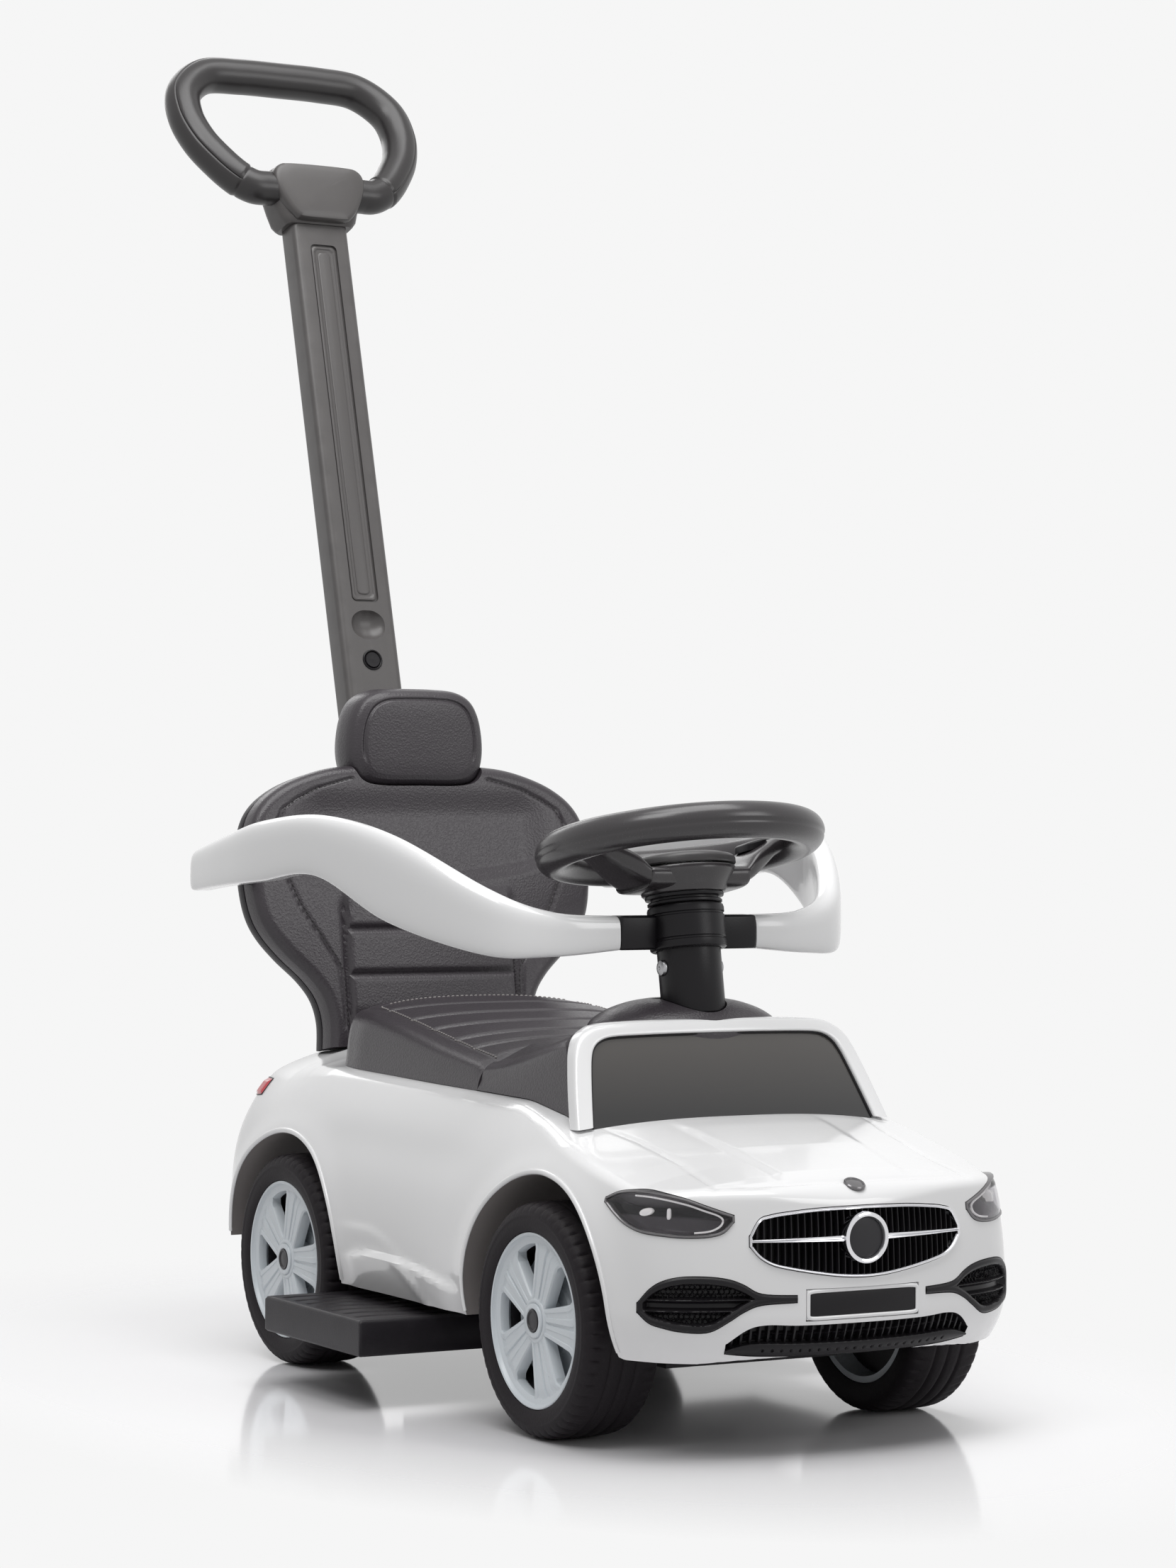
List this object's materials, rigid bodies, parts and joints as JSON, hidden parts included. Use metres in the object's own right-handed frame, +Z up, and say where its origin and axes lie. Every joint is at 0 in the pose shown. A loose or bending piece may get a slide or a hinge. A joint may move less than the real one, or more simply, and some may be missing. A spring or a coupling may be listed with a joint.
{
  "type": "ride-on car",
  "caption": "Foot-to-floor ride-on car with saddle seat over a storage bin, padded backrest, guard ring, steering wheel, slide-out foot rests and a parent push handle.",
  "frame": {"origin": "on the floor under the middle of the whole length, between the left and right sides", "axes": "+Z up; the nose points to -Y; +X is the rider's left side"},
  "size_m": [0.38, 0.8361, 0.9505],
  "materials": {
    "body_shell": "gloss white, moulded",
    "windscreen_frame": "gloss white, moulded",
    "guard_arm_left": "gloss white, moulded",
    "guard_arm_right": "gloss white, moulded",
    "number_plate": "gloss white, blank",
    "floor_pan": "matt black",
    "storage_bin": "matt black",
    "backrest_shell": "matt black",
    "mast_socket": "matt black",
    "guard_clamp": "matt black",
    "guard_bracket_left": "matt black",
    "guard_bracket_right": "matt black",
    "foot_rest_left": "matt black",
    "foot_rest_right": "matt black",
    "seat_base": "matt black",
    "chin_grille": "matt black",
    "grille_insert": "matt black",
    "side_intake_left": "matt black",
    "side_intake_right": "matt black",
    "knuckle_left": "matt black",
    "knuckle_right": "matt black",
    "steering_wheel": "satin black",
    "steering_stem": "satin black",
    "horn_button": "satin black",
    "mast_button": "satin black",
    "handle_mast": "satin dark grey",
    "grip_yoke": "satin dark grey",
    "grip_loop": "satin dark grey",
    "steering_cover": "satin dark grey",
    "seat_pad": "dark grey-brown leatherette, sewn",
    "backrest_cover": "dark grey-brown leatherette, sewn",
    "headrest": "dark grey-brown leatherette, sewn",
    "seat_console": "dark grey, moulded to match the seat",
    "headlight_left": "dark smoked",
    "headlight_right": "dark smoked",
    "windscreen_panel": "dark smoked",
    "taillight_left": "clear red",
    "taillight_right": "clear red",
    "grille_trim": "bright plated",
    "rear_axle": "plain steel",
    "kingpin_left": "plain steel",
    "kingpin_right": "plain steel",
    "seat_hinge_pin": "plain steel",
    "stem_bolt": "plain steel",
    "steering_rod": "plain steel",
    "tie_rod": "plain steel",
    "tyre_front_left": "moulded black",
    "wheel_front_left": "satin pale blue-grey",
    "hub_cap_front_left": "satin pale blue-grey",
    "tyre_front_right": "moulded black",
    "wheel_front_right": "satin pale blue-grey",
    "hub_cap_front_right": "satin pale blue-grey",
    "tyre_rear_left": "moulded black",
    "wheel_rear_left": "satin pale blue-grey",
    "hub_cap_rear_left": "satin pale blue-grey",
    "tyre_rear_right": "moulded black",
    "wheel_rear_right": "satin pale blue-grey",
    "hub_cap_rear_right": "satin pale blue-grey"
  },
  "bodies": {
    "car": {"body_shell": "body_shell", "windscreen_frame": "windscreen_frame", "guard_arm_left": "guard_arm_left", "guard_arm_right": "guard_arm_right", "number_plate": "number_plate", "floor_pan": "floor_pan", "storage_bin": "storage_bin", "backrest_shell": "backrest_shell", "mast_socket": "mast_socket", "guard_clamp": "guard_clamp", "guard_bracket_left": "guard_bracket_left", "guard_bracket_right": "guard_bracket_right", "chin_grille": "chin_grille", "grille_insert": "grille_insert", "side_intake_left": "side_intake_left", "side_intake_right": "side_intake_right", "backrest_cover": "backrest_cover", "headrest": "headrest", "seat_console": "seat_console", "headlight_left": "headlight_left", "headlight_right": "headlight_right", "windscreen_panel": "windscreen_panel", "taillight_left": "taillight_left", "taillight_right": "taillight_right", "grille_trim": "grille_trim", "rear_axle": "rear_axle", "kingpin_left": "kingpin_left", "kingpin_right": "kingpin_right", "seat_hinge_pin": "seat_hinge_pin"},
    "steering": {"steering_wheel": "steering_wheel", "steering_cover": "steering_cover", "steering_stem": "steering_stem", "stem_bolt": "stem_bolt", "steering_rod": "steering_rod"},
    "horn": {"horn_button": "horn_button"},
    "steering_link": {"tie_rod": "tie_rod"},
    "left_knuckle": {"knuckle_left": "knuckle_left"},
    "right_knuckle": {"knuckle_right": "knuckle_right"},
    "seat_lid": {"seat_base": "seat_base", "seat_pad": "seat_pad"},
    "left_rest": {"foot_rest_left": "foot_rest_left"},
    "right_rest": {"foot_rest_right": "foot_rest_right"},
    "handle": {"handle_mast": "handle_mast", "grip_yoke": "grip_yoke", "grip_loop": "grip_loop"},
    "handle_button": {"mast_button": "mast_button"},
    "front_left_wheel": {"tyre_front_left": "tyre_front_left", "wheel_front_left": "wheel_front_left", "hub_cap_front_left": "hub_cap_front_left"},
    "front_right_wheel": {"tyre_front_right": "tyre_front_right", "wheel_front_right": "wheel_front_right", "hub_cap_front_right": "hub_cap_front_right"},
    "rear_left_wheel": {"tyre_rear_left": "tyre_rear_left", "wheel_rear_left": "wheel_rear_left", "hub_cap_rear_left": "hub_cap_rear_left"},
    "rear_right_wheel": {"tyre_rear_right": "tyre_rear_right", "wheel_rear_right": "wheel_rear_right", "hub_cap_rear_right": "hub_cap_rear_right"}
  },
  "joints": [
    {"name": "steering_turn", "type": "hinge", "parent": "car", "child": "steering", "pos_m": [0, -0.2, 0.359], "axis": [0, 0.1736, 0.9848], "range_deg": [-28, 28]},
    {"name": "horn_press", "type": "slide", "parent": "steering", "child": "horn", "axis": [0, -0.1736, -0.9848], "range_m": [0, 0.002], "stiffness_N_per_m": 300, "springref_m": -0.002},
    {"name": "link_slide", "type": "slide", "parent": "car", "child": "steering_link", "axis": [1, 0, 0], "range_m": [-0.0095, 0.0095]},
    {"name": "left_knuckle_turn", "type": "hinge", "parent": "car", "child": "left_knuckle", "pos_m": [0.08, -0.267, 0.07096], "axis": [0, 0, 1], "range_deg": [-15, 15]},
    {"name": "right_knuckle_turn", "type": "hinge", "parent": "car", "child": "right_knuckle", "pos_m": [-0.08, -0.267, 0.07096], "axis": [0, 0, 1], "range_deg": [-15, 15]},
    {"name": "front_left_spin", "type": "hinge", "parent": "left_knuckle", "child": "front_left_wheel", "pos_m": [0.1175, -0.267, 0.07096], "axis": [1, 0, 0], "continuous": true},
    {"name": "front_right_spin", "type": "hinge", "parent": "right_knuckle", "child": "front_right_wheel", "pos_m": [-0.1175, -0.267, 0.07096], "axis": [1, 0, 0], "continuous": true},
    {"name": "rear_left_spin", "type": "hinge", "parent": "car", "child": "rear_left_wheel", "pos_m": [0.1175, 0.083, 0.07096], "axis": [1, 0, 0], "continuous": true},
    {"name": "rear_right_spin", "type": "hinge", "parent": "car", "child": "rear_right_wheel", "pos_m": [-0.1175, 0.083, 0.07096], "axis": [1, 0, 0], "continuous": true},
    {"name": "seat_open", "type": "hinge", "parent": "car", "child": "seat_lid", "pos_m": [0, -0.119, 0.2245], "axis": [1, 0, 0], "range_deg": [0, 50]},
    {"name": "left_rest_slide", "type": "slide", "parent": "car", "child": "left_rest", "axis": [-1, 0, 0], "range_m": [0, 0.045]},
    {"name": "right_rest_slide", "type": "slide", "parent": "car", "child": "right_rest", "axis": [1, 0, 0], "range_m": [0, 0.045]},
    {"name": "handle_pull", "type": "slide", "parent": "car", "child": "handle", "axis": [0, 0.2689, 0.9632], "range_m": [0, 0.09]},
    {"name": "button_press", "type": "slide", "parent": "handle", "child": "handle_button", "axis": [0, 0.9632, -0.2689], "range_m": [0, 0.003], "stiffness_N_per_m": 400, "springref_m": -0.002}
  ],
  "couplings": [
    {"joint": "link_slide", "follows": "steering_turn", "m_per_rad": -0.01844},
    {"joint": "left_knuckle_turn", "follows": "steering_turn", "ratio": 0.5036},
    {"joint": "right_knuckle_turn", "follows": "steering_turn", "ratio": 0.5036}
  ]
}
